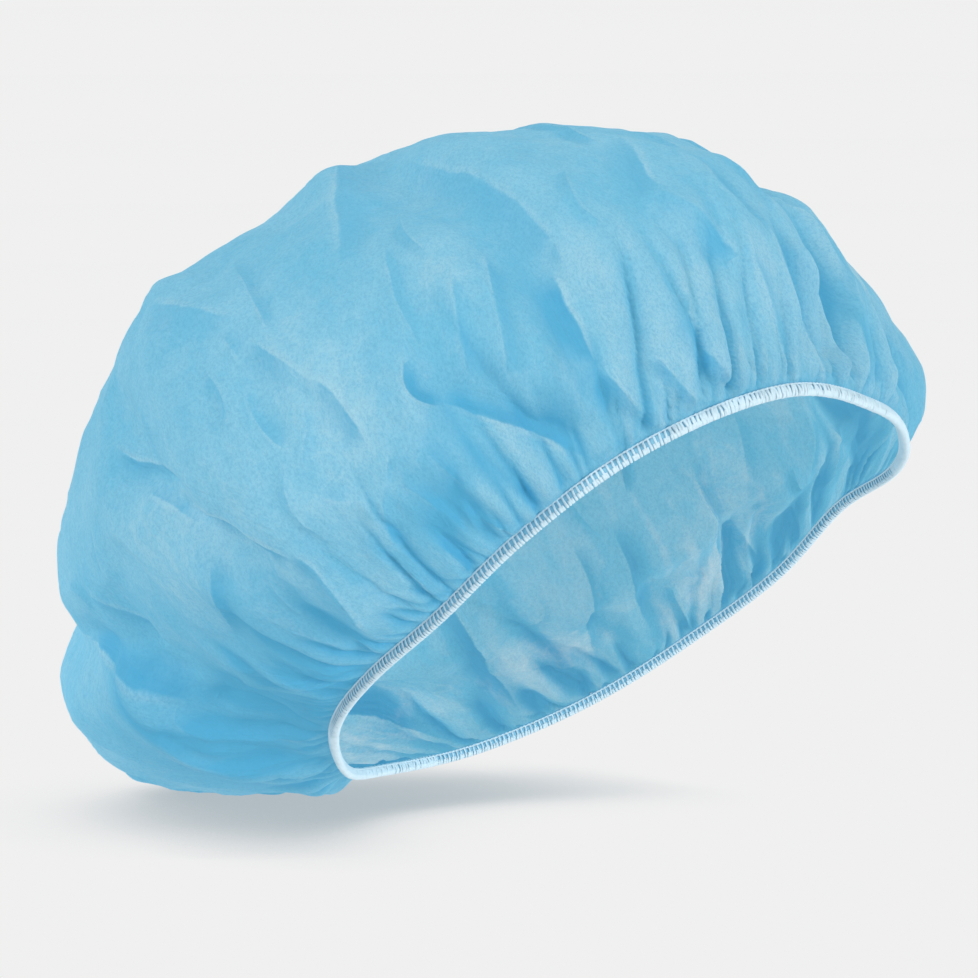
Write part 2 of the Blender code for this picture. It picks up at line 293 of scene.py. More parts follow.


# %% [markdown]
# ## Creases
#
# Sharper creases run over the long folds. At each of them one part of the cloth laps a little
# over the next: it climbs to a crest, drops, and comes back slowly. The cloth under the drop lies
# double and is coloured a deeper blue, partly for the double cloth and partly as painted shade, and
# the crest gets a painted highlight. Each row bends through a middle place.

# %%
# The creases: three places each, the width, the height, and the side that drops, 1 for its right
CREASE_COLUMNS = ("from_deg", "from_up", "by_deg", "by_up", "to_deg", "to_up",
                  "width", "height", "drops")
CREASES = (
    (-12, 0.50, -15, 0.32, -13, 0.02, 0.0030, 0.0021, -1),
    (-19, 0.47, -20, 0.32, -20, 0.03, 0.0030, 0.0021, -1),
    (-2, 0.40, -6, 0.24, -8, 0.04, 0.0026, 0.0018, -1),
    (1, 0.36, -2, 0.22, -3, 0.06, 0.0026, 0.0016, -1),
    (-30, 0.42, -32, 0.26, -27, 0.05, 0.0028, 0.0015, 1),
    (-26, 0.24, -26, 0.10, -25, 0.01, 0.0016, 0.0010, -1),
    (-33, 0.28, -30, 0.16, -28, 0.04, 0.0018, 0.0011, 1),
    (-39, 0.32, -37, 0.20, -34, 0.02, 0.0022, 0.0015, 1),
    (-40, 0.30, -41, 0.15, -40, 0.02, 0.0020, 0.0015, -1),
    (4, 0.24, 7, 0.13, 14, 0.02, 0.0020, 0.0013, -1),
    (10, 0.30, 16, 0.16, 22, 0.02, 0.0024, 0.0015, -1),
    (-28, 0.54, -24, 0.49, -20, 0.39, 0.0040, 0.0018, 1),
    (-12, 0.56, -17, 0.51, -16, 0.46, 0.0030, 0.0014, -1),
    (-52, 0.82, -44, 0.60, -44, 0.48, 0.0036, 0.0009, 1),
    (-44, 0.52, -46, 0.44, -46, 0.30, 0.0030, 0.0018, 1),
    (-46, 0.35, -44, 0.20, -40, 0.03, 0.0026, 0.0016, 1),
    (-66, 0.47, -69, 0.42, -65, 0.36, 0.0020, 0.0018, -1),
    (-68, 0.40, -60, 0.27, -51, 0.01, 0.0030, 0.0022, -1),
    (-73, 0.44, -72, 0.38, -70, 0.33, 0.0016, 0.0010, -1),
    (-71, 0.34, -70, 0.27, -68, 0.17, 0.0024, 0.0012, -1),
    (-59, 0.16, -59, 0.09, -58, 0.01, 0.0015, 0.0010, -1),
    (-52, 0.22, -52, 0.15, -52, 0.10, 0.0014, 0.0008, -1),
    (-48, 0.20, -46, 0.10, -46, 0.02, 0.0016, 0.0011, -1),
    (-56, 0.54, -60, 0.47, -62, 0.39, 0.0026, 0.0012, -1),
    (-51, 0.55, -55, 0.47, -59, 0.34, 0.0026, 0.0012, -1),
    (-51, 0.45, -51, 0.34, -50, 0.22, 0.0030, 0.0009, -1),
    (-118, 0.57, -111, 0.50, -96, 0.44, 0.0028, 0.0015, 1),
    (-115, 0.49, -109, 0.43, -103, 0.35, 0.0026, 0.0014, -1),
    (-110, 0.47, -97, 0.36, -91, 0.25, 0.0034, 0.0024, 1),
    (-92, 0.31, -92, 0.21, -101, 0.06, 0.0028, 0.0020, 1),
    (-84, 0.56, -80, 0.50, -77, 0.45, 0.0030, 0.0013, 1),
    (-79, 0.49, -76, 0.43, -76, 0.34, 0.0030, 0.0013, 1),
    (-72, 0.46, -72, 0.42, -72, 0.36, 0.0016, 0.0009, -1),
    (-105, 0.36, -108, 0.30, -117, 0.25, 0.0022, 0.0011, -1),
    (-122, 0.26, -118, 0.13, -114, 0.02, 0.0026, 0.0018, 1),
    (-156, 0.52, -142, 0.34, -140, 0.24, 0.0042, 0.0026, -1),
    (-140, 0.28, -144, 0.15, -139, 0.01, 0.0030, 0.0020, -1),
    (-142, 0.29, -149, 0.17, -148, 0.03, 0.0024, 0.0015, -1),
    (-149, 0.12, -154, 0.07, -153, 0.01, 0.0016, 0.0010, 1),
    (-160, 0.11, -156, 0.05, -163, 0.01, 0.0016, 0.0010, 1),
    (-128, 0.12, -132, 0.06, -134, 0.01, 0.0015, 0.0010, 1),
    (-101, 0.12, -103, 0.07, -104, 0.01, 0.0014, 0.0010, 1),
    (-138, 0.46, -133, 0.37, -127, 0.28, 0.0040, 0.0014, 1),
    (-73, 0.22, -70, 0.13, -68, 0.01, 0.0018, 0.0012, -1),
    (-84, 0.28, -84, 0.15, -87, 0.02, 0.0018, 0.0011, -1),
    (-92, 0.29, -94, 0.18, -103, 0.04, 0.0018, 0.0010, -1),
    (-78, 0.20, -78, 0.10, -80, 0.01, 0.0015, 0.0009, -1),
    (-77, 0.33, -74, 0.22, -74, 0.08, 0.0020, 0.0011, -1),
    (-57, 0.84, -65, 0.70, -69, 0.58, 0.0050, 0.0010, -1),
    (-18, 0.64, -25, 0.53, -26, 0.44, 0.0040, 0.0014, 1),
    (-101, 0.70, -90, 0.62, -81, 0.55, 0.0040, 0.0008, 1),
    (118, 0.50, 120, 0.34, 120, 0.06, 0.0034, 0.0020, 1),
    (103, 0.52, 106, 0.36, 104, 0.10, 0.0034, 0.0020, 1),
    (91, 0.24, 88, 0.15, 84, 0.04, 0.0024, 0.0014, -1),
    (80, 0.44, 79, 0.28, 76, 0.08, 0.0024, 0.0014, 1),
    (124, 0.50, 126, 0.35, 131, 0.06, 0.0030, 0.0016, 1),
    (114, 0.22, 114, 0.12, 112, 0.01, 0.0018, 0.0012, -1),
    (108, 0.46, 101, 0.24, 95, 0.08, 0.0030, 0.0012, -1),
    (56, 0.56, 58, 0.34, 62, 0.04, 0.0032, 0.0020, 1),
    (42, 0.52, 40, 0.30, 36, 0.03, 0.0030, 0.0018, -1),
    (28, 0.44, 26, 0.24, 29, 0.03, 0.0026, 0.0016, 1),
    (142, 0.56, 140, 0.34, 146, 0.05, 0.0034, 0.0020, -1),
    (164, 0.50, 160, 0.30, 158, 0.04, 0.0032, 0.0018, 1),
    (176, 0.42, 180, 0.24, 174, 0.03, 0.0028, 0.0016, -1),
)
CREASE_STEPS = 11
CREASE_START = 0.35
CREASE_END = 0.28

# How far a crease reaches to its sides, in its own widths, and how deep it drops
SEEN_REACH = 6
CLIMB_REACH = 2.4
DROP_REACH = 0.75
DROP_DEPTH = 1.7
MARK_REACH = 4.0
FULL_MARK = 0.0018
SMALL_CREASES = 110
SMALL_SEED = 21


def small_creases():
    """Short creases all over, mostly down the way that the cloth falls."""
    random = np.random.default_rng(SMALL_SEED)
    rows = []
    for _ in range(SMALL_CREASES):
        deg, low = random.uniform(-180, 180), random.uniform(0.03, 0.60)
        climb, lean = random.uniform(0.07, 0.20), random.uniform(-10, 10)
        bow = lean / 2 + random.uniform(-3, 3)
        width, height = random.uniform(0.0013, 0.0026), random.uniform(0.0005, 0.0011)
        rows.append((deg + lean, low + climb, deg + bow, low + climb / 2, deg, low,
                     width, height, random.choice((-1, 1))))
    return tuple(rows)


def soft_step(value):
    value = np.clip(value, 0, 1)
    return value * value * (3 - 2 * value)


def crease_path(crease):
    """A path that bends evenly through the crease's three places."""
    along = np.linspace(0, 1, CREASE_STEPS)
    shares = ((1 - along) * (1 - 2 * along), 4 * along * (1 - along), along * (2 * along - 1))
    parts = tuple(zip(("from", "by", "to"), shares))
    turn = sum(crease[word + "_deg"] * share for word, share in parts)
    up = sum(crease[word + "_up"] * share for word, share in parts)
    return path_on_cloth(np.radians(turn), up)


def add_creases(points):
    """Height of all creases at each point, which side of the nearest it is on, and how strong."""
    lift, strength, second = np.zeros((3, len(points)))
    side = np.full(len(points), -MARK_REACH)
    for row in CREASES + small_creases():
        crease = dict(zip(CREASE_COLUMNS, row))
        places, right = crease_path(crease)
        middle = places.mean(axis=0)
        reach = np.linalg.norm(places - middle, axis=-1).max() + SEEN_REACH * crease["width"]
        near = np.flatnonzero(np.linalg.norm(points - middle, axis=-1) < reach)
        if not len(near):
            continue
        across, share = nearest_on_path(points[near], places, right)
        across = across * crease["drops"] / crease["width"]
        fade = soft_step(share / CREASE_START) * soft_step((1 - share) / CREASE_END)
        climb = np.exp(-((across / CLIMB_REACH) ** 2))
        drop = DROP_DEPTH * np.exp(-((across / DROP_REACH) ** 2)) - (DROP_DEPTH - 1) * climb
        lift[near] += crease["height"] * fade * np.where(across < 0, climb, drop)
        # How strongly the crease's lap colour, its painted shade and painted highlight, and its fine
        # crinkles show
        force = fade * min(1.0, crease["height"] / FULL_MARK) * np.exp(-((across / MARK_REACH) ** 2))
        kept = force > strength[near]
        second[near] = np.maximum(second[near], np.minimum(force, strength[near]))
        side[near[kept]] = np.clip(across[kept], -MARK_REACH, MARK_REACH)
        strength[near[kept]] = force[kept]
    return lift, side, strength - second


# %% [markdown]
# ## Gathers
#
# The elastic draws up nearly three times its own length of cloth. Small pleats crowd at the edge
# and run together further up, where fewer and wider ones carry on. Each layer below is one size
# of pleat, with the stretch of the way up that it shows on.

# %%
# Pleats at the edge, in layers: spacing, depth, where they start, and where they end
PLEAT_COLUMNS = ("spacing", "depth", "start", "end")
PLEAT_LAYERS = (
    (0.0040, 0.00060, 0.000, 0.018),
    (0.0078, 0.00125, 0.002, 0.050),
    (0.0150, 0.00150, 0.010, 0.075),
    (0.0290, 0.00110, 0.024, 0.096),
)
PLEAT_SEED = 7
PLEAT_POWER = 0.85
EDGE_SHARE = 0.35
SWAY_PLACES = 24
SWAY_REACH = 0.35
FADE_SHARE = 0.6

# The forehead has deeper pleats. Crests are sunk so that they stay on the cap's outline. The
# pleats carry a painted shade in their valleys and a painted highlight on their crests, with a
# painted shade added all over, least at the forehead and most over the bag of cloth at the nape
FRONT_EXTRA = 0.35
FRONT_MIDDLE = math.radians(-12)
FRONT_SPREAD = math.radians(48)
BAG_MIDDLE = math.radians(-128)
BAG_SPREAD = math.radians(34)
CREST_SUNK = 0.70
SHADE_SWING = 0.76
SHADE_AT_FRONT = 0.12
SHADE_ELSEWHERE = 0.42
SHADE_AT_BAG = 0.95


def edge_length_table():
    turns = math.tau * np.arange(LOOK_TURNS + 1) / LOOK_TURNS
    edge, height = opening_edge(turns)
    line = np.stack([edge * np.cos(turns), edge * np.sin(turns), height], -1)
    steps = np.linalg.norm(np.diff(line, axis=0), axis=-1)
    return np.concatenate([[0], np.cumsum(steps)])


edge_lengths = edge_length_table()


def along_edge(turn):
    return np.interp(turn % math.tau, math.tau * np.arange(LOOK_TURNS + 1) / LOOK_TURNS, edge_lengths)


def pleat_phase(random, count):
    """Pleats a little uneven in width, as a phase round the opening."""
    widths = random.uniform(0.55, 1.45, count)
    stops = np.concatenate([[0], np.cumsum(widths)])
    return stops / stops[-1], math.tau * np.arange(count + 1)


def closeness(turn, middle, spread):
    """1 at the middle of a stretch of the opening, falling away to both sides."""
    turned = (turn - middle + math.pi) % math.tau - math.pi
    return np.exp(-((turned / spread) ** 2))


def pleats(turn, climbed):
    """How far the pleats lift the cloth, and their painted shade: 1 in a valley, -1 on a crest, where
    it is a painted highlight.
    """
    random = np.random.default_rng(PLEAT_SEED)
    total = edge_lengths[-1]
    share = along_edge(turn) / total
    lift = np.zeros_like(share)
    shade = np.zeros_like(share)
    near_front = closeness(turn, FRONT_MIDDLE, FRONT_SPREAD)
    near_bag = closeness(turn, BAG_MIDDLE, BAG_SPREAD)
    front = 1 + FRONT_EXTRA * near_front
    shade_bias = SHADE_ELSEWHERE + (SHADE_AT_FRONT - SHADE_ELSEWHERE) * near_front
    shade_bias = shade_bias + (SHADE_AT_BAG - SHADE_ELSEWHERE) * near_bag
    sunk = CREST_SUNK + (1 - CREST_SUNK) * near_front
    for row in PLEAT_LAYERS:
        layer = dict(zip(PLEAT_COLUMNS, row))
        count = round(total / layer["spacing"])
        stops, phases = pleat_phase(random, count)
        sway = random.uniform(-1, 1, SWAY_PLACES)
        skew = random.uniform(-0.7, 0.7, SWAY_PLACES)
        length = random.uniform(0.40, 1.25, count + 1)
        size = random.uniform(0.15, 1.35, count + 1)
        length[-1], size[-1] = length[0], size[0]
        part = share * SWAY_PLACES % SWAY_PLACES
        leaning, lopsided = (np.interp(part, np.arange(SWAY_PLACES + 1), np.append(values, values[0]))
                             for values in (sway, skew))
        moved = (share + leaning * SWAY_REACH * climbed / total) % 1
        phase = np.interp(moved, stops, phases)
        reach = layer["end"] * np.interp(moved, stops, length) * np.sqrt(front)
        size_here = np.interp(moved, stops, size) * front
        come = soft_step(climbed / max(layer["start"], 0.004))
        if layer["start"] < 0.001:
            come = EDGE_SHARE + (1 - EDGE_SHARE) * come
        window = come * soft_step((reach - climbed) / (reach * FADE_SHARE)) * size_here
        ridge = 2 * np.abs(np.sin((phase + lopsided * np.sin(phase)) / 2)) ** PLEAT_POWER - 1
        lift += layer["depth"] * window * (ridge - sunk)
        # Painted shade in the valleys and a painted highlight on the crests, plus the painted shade
        # bias
        shade += window * (shade_bias - SHADE_SWING * ridge)
    return lift, np.clip(shade, -1, 1)


# %% [markdown]
# ## Crumples
#
# The cap comes folded flat in a box, and its thin cloth keeps soft crumples all over. They are
# sums of ridged noise, drawn out a little down the cap.

# %%
# Soft crumples
CRUMPLES = (
    (0.034, 0.0011),
    (0.017, 0.0008),
    (0.008, 0.00030),
)


def crumples(points):
    lift = np.zeros(len(points))
    for size, depth in CRUMPLES:
        for index, point in enumerate(points):
            place = Vector(point) / size
            place.z *= 0.7
            bend = noise.noise(place * 0.5 + Vector((7.0, 3.0, 1.0)))
            value = noise.noise(place + Vector((bend, -bend, bend)) * 0.8)
            lift[index] += depth * (0.5 - 2 * abs(value))
    return lift


# %% [markdown]
# ## Thin places, and places of painted shade
#
# Spunbond cloth is uneven: here and there its fibres lie thinly over a few centimetres, and the
# cloth looks pale and greyish there, most of all where light comes through it.

# %%
# Where the cloth is thinnest
PLACE_COLUMNS = ("deg", "up", "reach", "strength")
THIN_PLACES = (
    (-80, 0.40, 0.026, 0.90),
    (-108, 0.37, 0.024, 0.80),
    (-101, 0.27, 0.016, 0.50),
    (-47, 0.40, 0.015, 0.80),
    (-58, 0.52, 0.009, 0.60),
    (-86, 0.16, 0.016, 0.60),
    (-62, 0.24, 0.012, 0.55),
    (-24, 0.30, 0.012, 0.50),
    (105, 0.40, 0.018, 0.90),
    (103, 0.20, 0.017, 1.00),
    (113, 0.12, 0.011, 0.80),
    (134, 0.18, 0.018, 0.90),
    (150, 0.15, 0.016, 1.00),
    (160, 0.17, 0.018, 1.00),
    (170, 0.14, 0.014, 0.80),
    (122, 0.26, 0.012, 0.70),
    (91, 0.28, 0.010, 0.60),
    (60, 0.36, 0.020, 0.70),
    (30, 0.50, 0.022, 0.60),
    (172, 0.44, 0.024, 0.70),
    (140, 0.60, 0.024, 0.60),
)

# Places given a painted shade, a deeper blue added to the pleats' painted shade
SHADED_PLACES = (
    (-138, 0.20, 0.030, 0.34),
    (-118, 0.18, 0.022, 0.30),
    (-140, 0.31, 0.020, 0.24),
    (-135, 0.06, 0.018, 0.28),
    (-63, 0.37, 0.013, 0.50),
)


def patches(points, table):
    """How strongly each point lies in one of a table's soft round places."""
    found = np.zeros(len(points))
    for row in table:
        place = dict(zip(PLACE_COLUMNS, row))
        middle = cloth_point(math.radians(place["deg"]), place["up"])
        away = np.linalg.norm(points - middle, axis=-1) / place["reach"]
        found = np.maximum(found, place["strength"] * np.exp(-(away**2)))
    return found


# %% [markdown]
# ## The cap's cloth as one thin sheet
#
# Every point of the flat round is put in its place on the cap and moved out or in by the pleats,
# folds, creases and crumples. The sheet is a single layer, as thin cloth is. It also keeps how
# creased and thin it is at each point, and the painted shade and painted highlight of its pleats,
# for its material.

# %%
# Placing the cloth
CLOTH_CELLS = 300


def grid_normals(points):
    across = np.gradient(points, axis=0)
    along = np.gradient(points, axis=1)
    normal = np.cross(across, along)
    return normal / np.maximum(np.linalg.norm(normal, axis=-1, keepdims=True), 1e-12)


def tip(points):
    """From square to the opening to how the cap sits: the opening rises towards the forehead."""
    turned = Matrix.Rotation(-OPENING_TILT, 3, "Y")
    return points @ np.array(turned).T


def placed_cloth(cells):
    flat = flat_round(cells)
    turn = np.arctan2(flat[..., 1], flat[..., 0]) % math.tau
    share = 1 - np.hypot(flat[..., 0], flat[..., 1])
    up = look_up(heights_in, turn, share)
    climbed = np.clip(share, 0, 1) * look_up(way_up, turn)
    points = cloth_point(turn, up)
    outward = grid_normals(points)
    calm = np.clip(climbed / 0.012, 0, 1)
    lift, shade = pleats(turn, climbed)
    for row in FOLDS:
        lift += calm * fold_height(dict(zip(FOLD_COLUMNS, row)), points)
    crease_lift, side, strength = add_creases(points.reshape(-1, 3))
    small = soft_step(climbed / 0.005)
    lift += small * crease_lift.reshape(lift.shape)
    lift += calm * crumples(points.reshape(-1, 3)).reshape(lift.shape)
    thin = patches(points.reshape(-1, 3), THIN_PLACES)
    # The shaded places add painted shade to the pleats' painted shade
    shade = np.clip(shade + patches(points.reshape(-1, 3), SHADED_PLACES).reshape(shade.shape), -1, 1)
    marks = {"pleat_shade": shade, "crease_side": side, "crease_strength": strength, "thin_place": thin}
    return flat * FLAT_ROUND / 2, tip(points + outward * lift[..., None]), marks


def cloth_mesh(cells):
    flat, points, marks = placed_cloth(cells)
    index = np.arange((cells + 1) ** 2).reshape(cells + 1, cells + 1)
    faces = np.stack([index[:-1, :-1], index[1:, :-1], index[1:, 1:], index[:-1, 1:]], -1)
    faces = faces.reshape(-1, 4)
    mesh = bpy.data.meshes.new("cap_cloth")
    mesh.from_pydata(points.reshape(-1, 3), [], faces.tolist())
    layer = mesh.uv_layers.new(name="flat")
    layer.data.foreach_set("uv", flat.reshape(-1, 2)[faces.ravel()].astype(np.float32).ravel())
    for name, values in marks.items():
        mark = mesh.attributes.new(name, "FLOAT", "POINT")
        mark.data.foreach_set("value", values.astype(np.float32).ravel())
    mesh.shade_smooth()
    return mesh


cap_cloth = put_in_scene("cap_cloth", cloth_mesh(CLOTH_CELLS))
print("cloth points", len(cap_cloth.data.vertices), "after", round(time.time() - started, 1), "s")

# %% [markdown]
# ## Threads
#
# A thread is a path with a round or flat section swept along it.

# %%
# Sweeping a thread along a path
THREAD_SIDES = 6


def sweep(path, sideways, width, thickness, closed=False, sides=THREAD_SIDES):
    """Corners and faces of a thread along a path. Sideways is the way its width lies."""
    path = np.asarray(path, float)
    if closed:
        along = np.roll(path, -1, axis=0) - np.roll(path, 1, axis=0)
    else:
        along = np.gradient(path, axis=0)
    along /= np.linalg.norm(along, axis=-1, keepdims=True)
    sideways = np.broadcast_to(np.asarray(sideways, float), path.shape)
    sideways = sideways - (sideways * along).sum(-1, keepdims=True) * along
    sideways = sideways / np.linalg.norm(sideways, axis=-1, keepdims=True)
    off = np.cross(along, sideways)
    swing = math.tau * np.arange(sides) / sides
    rings = (
        path[:, None]
        + sideways[:, None] * np.cos(swing)[None, :, None] * width / 2
        + off[:, None] * np.sin(swing)[None, :, None] * thickness / 2
    )
    count = len(path)
    faces = []
    for ring in range(count if closed else count - 1):
        after = (ring + 1) % count
        for side in range(sides):
            other = (side + 1) % sides
            faces.append((ring * sides + side, ring * sides + other,
                          after * sides + other, after * sides + side))
    if not closed:
        faces.append(tuple(range(sides))[::-1])
        faces.append(tuple(range((count - 1) * sides, count * sides)))
    return rings.reshape(-1, 3), faces


def mesh_object(name, points, faces, finish):
    mesh = bpy.data.meshes.new(name)
    mesh.from_pydata(points, [], faces)
    mesh.shade_smooth()
    mesh.materials.append(finish)
    return put_in_scene(name, mesh)


# %% [markdown]
# ## The nonwoven finish
#
# Spunbond cloth is a mat of fine fibres pressed together. Where fibres lie thickly it is bluer,
# where they lie thinly more light comes through and it looks paler. So one effect makes a map of
# thin and thick, and the material shares the light between bouncing off and passing through.

# %%
# Small helpers for node trees
def add_node(tree, kind, inputs=None, **settings):
    """A node with its settings, and each named input set to a value or linked to a socket."""
    made = tree.nodes.new(kind)
    for name, value in settings.items():
        setattr(made, name, value)
    for name, value in (inputs or {}).items():
        if isinstance(value, bpy.types.NodeSocket):
            tree.links.new(value, made.inputs[name])
        else:
            made.inputs[name].default_value = value
    return made


def new_group(name, kind, given, handed_on):
    """A node group with sockets for what it is given and hands on, as pairs of name and kind."""
    tree = bpy.data.node_groups.new(name, kind)
    for way, pairs in (("INPUT", given), ("OUTPUT", handed_on)):
        for word, form in pairs:
            tree.interface.new_socket(name=word, in_out=way, socket_type="NodeSocket" + form)
    return tree, add_node(tree, "NodeGroupInput").outputs


def hand_on(tree, **values):
    ends = add_node(tree, "NodeGroupOutput")
    for name, value in values.items():
        tree.links.new(value, ends.inputs[name])
    return tree


def calculate(tree, operation, first, second=0.0, clamp=False):
    made = add_node(tree, "ShaderNodeMath", {0: first, 1: second}, operation=operation, use_clamp=clamp)
    return made.outputs[0]


def times(tree, first, second):
    return calculate(tree, "MULTIPLY", first, second)


def minus(tree, first, second, clamp=False):
    return calculate(tree, "SUBTRACT", first, second, clamp)


def plus(tree, first, *others, clamp=False):
    for index, value in enumerate(others):
        first = calculate(tree, "ADD", first, value, clamp and index == len(others) - 1)
    return first


def vector_node(tree, operation, place, **inputs):
    return add_node(tree, "ShaderNodeVectorMath", {0: place, **inputs}, operation=operation)


def with_depth(tree, place, depth):
    """The place with its Z taken from another value."""
    split = add_node(tree, "ShaderNodeSeparateXYZ", {0: place}).outputs
    joined = add_node(tree, "ShaderNodeCombineXYZ", {"X": split["X"], "Y": split["Y"], "Z": depth})
    return joined.outputs["Vector"]


def noise_value(tree, place, form):
    names = ("Scale", "Detail", "Roughness", "Distortion")
    inputs = {"Vector": place, **dict(zip(names, form))}
    return add_node(tree, "ShaderNodeTexNoise", inputs, noise_dimensions="3D").outputs["Fac"]


def spread_value(tree, value, low, high):
    """0 up to the low value, 1 from the high one on, and a soft rise between them."""
    made = add_node(tree, "ShaderNodeMapRange", {"Value": value, "From Min": low, "From Max": high},
                    clamp=True, interpolation_type="SMOOTHSTEP")
    return made.outputs["Result"]


def round_about(tree, place, run):
    """Places drawn out along the way from the edge to the middle of the flat round."""
    distance = vector_node(tree, "LENGTH", place).outputs["Value"]
    away = vector_node(tree, "NORMALIZE", place).outputs["Vector"]
    wide = vector_node(tree, "SCALE", away, Scale=FLAT_ROUND / 2).outputs["Vector"]
    return with_depth(tree, wide, times(tree, distance, run)), distance


def ridged(tree, value, sharpness):
    """1 along the lines where a noise crosses its middle, falling away on both sides."""
    off = calculate(tree, "ABSOLUTE", minus(tree, value, 0.5))
    return minus(tree, 1.0, times(tree, off, sharpness), clamp=True)


# Each noise's scale, detail, roughness and distortion
CLOUDS = (30.0, 3.0, 0.55, 0.2)
WEBS = (210.0, 5.0, 0.70, 0.5)
BANDS = (36.0, 3.0, 0.55, 0.8)
CELLS = (150.0, 4.0, 0.70, 1.6)
STRANDS = (520.0, 3.0, 0.70, 0.5)
SPECKS = (900.0, 3.0, 0.85, 0.5)
SOFT_CRINKLES = (42.0, 3.0, 0.50, 0.8)
SMALL_CRINKLES = (120.0, 2.0, 0.50, 0.8)
GATHERED = (150.0, 3.0, 0.55, 0.5)
WANDER = (70.0, 3.0, 0.50, 0.0)
ALONGSIDE = (1.0, 2.0, 0.50, 0.0)
STRAND_TURNS = (20, 80, 140)
STRAND_STRETCH = 4.5
DRAWN_OUT = 0.50


def fibre_group():
    """Where the cloth is thin, its fine fibres, its dark flecks, and its crinkles, from 0 to 1."""
    words = ("Thin", "Lace", "Fibres", "Flecks", "Crinkle")
    tree, given = new_group("nonwoven fibres", "ShaderNodeTree", (("Flat place", "Vector"),),
                            tuple((word, "Float") for word in words))
    place = given["Flat place"]
    drawn, distance = round_about(tree, place, DRAWN_OUT)
    mixed = plus(tree, times(tree, noise_value(tree, place, CLOUDS), 0.60),
                 times(tree, noise_value(tree, place, WEBS), 0.40))
    bands = spread_value(tree, noise_value(tree, drawn, BANDS), 0.40, 0.60)
    cells = ridged(tree, noise_value(tree, place, CELLS), 7.0)
    strands = 0.0
    for turn in STRAND_TURNS:
        turned = add_node(tree, "ShaderNodeMapping", {
            "Vector": place,
            "Rotation": (0, 0, math.radians(turn)),
            "Scale": (1.0, STRAND_STRETCH, 1.0),
        })
        strand = noise_value(tree, turned.outputs["Vector"], STRANDS)
        strands = calculate(tree, "MAXIMUM", strands, strand)
    soft = ridged(tree, noise_value(tree, place, SOFT_CRINKLES), 5.0)
    small = ridged(tree, noise_value(tree, place, SMALL_CRINKLES), 5.0)
    gathered = ridged(tree, noise_value(tree, drawn, GATHERED), 5.0)
    near = spread_value(tree, distance, FLAT_ROUND * 0.30, FLAT_ROUND * 0.49)
    crinkle = plus(tree, times(tree, soft, 0.60), times(tree, small, 0.20),
                   times(tree, times(tree, gathered, near), 0.45))
    return hand_on(
        tree,
        Thin=spread_value(tree, mixed, 0.32, 0.72),
        Lace=minus(tree, bands, times(tree, cells, 0.45), clamp=True),
        Fibres=spread_value(tree, strands, 0.48, 0.72),
        Flecks=spread_value(tree, noise_value(tree, place, SPECKS), 0.42, 0.64),
        Crinkle=crinkle,
    )


def mix_colour(tree, share, first, second):
    """A colour between two, each given as red, green and blue or as a socket."""
    colours = [(*value, 1.0) if isinstance(value, tuple) else value for value in (first, second)]
    return add_node(tree, "ShaderNodeMix", {0: share, 6: colours[0], 7: colours[1]},
                    data_type="RGBA").outputs[2]


def mix_shaders(tree, share, first, second):
    return add_node(tree, "ShaderNodeMixShader", {0: share, 1: first, 2: second}).outputs[0]


fibres = fibre_group()

# %%
# The cloth's material
# The deepest blue is for cloth lying double, and also stands for painted shade in laps and pleat
# valleys
DOUBLE_AND_SHADE_BLUE = (0.080, 0.425, 0.670)
MIDDLE_BLUE = (0.245, 0.650, 0.825)
THIN_BLUE = (0.520, 0.785, 0.860)
GLOW_DEEP = (0.220, 0.640, 0.840)
GLOW_PALE = (0.860, 0.980, 0.990)
FLECK_BLUE = (0.100, 0.380, 0.580)
BOUNCE_BLUE = (0.300, 0.640, 0.800)
BOUNCE_GLOW = (0.430, 0.760, 0.890)
THREAD_WHITE = (0.620, 0.790, 0.880)
BAND_BLUE = (0.270, 0.580, 0.760)
DOUBLE_AND_PAINTED_SHADE = 0.92
PAINTED_CREST_HIGHLIGHT = 0.65


def named_value(tree, name):
    return add_node(tree, "ShaderNodeAttribute", attribute_name=name).outputs["Fac"]


def lap_group():
    """How much the cloth lies double in a crease's drop, coloured partly as painted shade, with the
    painted shade of pleat valleys, and the painted highlight on crease and pleat crests.
    """
    tree, given = new_group("creased laps", "ShaderNodeTree",
                            (("Side", "Float"), ("Strength", "Float"), ("Pleat shade", "Float")),
                            (("Double", "Float"), ("Crest", "Float")))
    side, strength, pleated = (given[name] for name in ("Side", "Strength", "Pleat shade"))
    opening = spread_value(tree, side, -0.06, 0.18)
    closing = spread_value(tree, side, 0.50, 3.20)
    drop = times(tree, opening, minus(tree, 1.0, closing))
    # Painted shade in the pleat valleys; below, a painted highlight on crease and pleat crests
    valley_shade = calculate(tree, "MAXIMUM", pleated, 0.0)
    rising = spread_value(tree, side, -0.60, -0.15)
    top = times(tree, rising, minus(tree, 1.0, opening))
    ridge = spread_value(tree, times(tree, pleated, -1.0), 0.25, 0.75)
    return hand_on(
        tree,
        Double=plus(tree, times(tree, drop, strength), valley_shade, clamp=True),
        Crest=plus(tree, times(tree, top, strength), times(tree, ridge, 0.6), clamp=True),
    )


laps = lap_group()


def beside_creases(tree, place):
    """Fine crinkles that run the same way as the crease beside them."""
    spot = vector_node(tree, "SCALE", place, Scale=26.0).outputs["Vector"]
    side = named_value(tree, "crease_side")
    beside = with_depth(tree, spot, times(tree, side, 2.2))
    lines = ridged(tree, noise_value(tree, beside, ALONGSIDE), 6.0)
    away = calculate(tree, "ABSOLUTE", side)
    edge = minus(tree, 1.0, spread_value(tree, away, 0.0, 0.55))
    both = plus(tree, times(tree, lines, 0.50), times(tree, edge, 0.70))
    return times(tree, both, named_value(tree, "crease_strength"))


def plain_cloth(tree):
    """The cloth without its fine detail, for light that has already bounced once."""
    shown = add_node(tree, "ShaderNodeBsdfDiffuse", {"Color": (*BOUNCE_BLUE, 1.0)})
    through = add_node(tree, "ShaderNodeBsdfTranslucent", {"Color": (*BOUNCE_GLOW, 1.0)})
    return mix_shaders(tree, 0.50, shown.outputs[0], through.outputs[0])


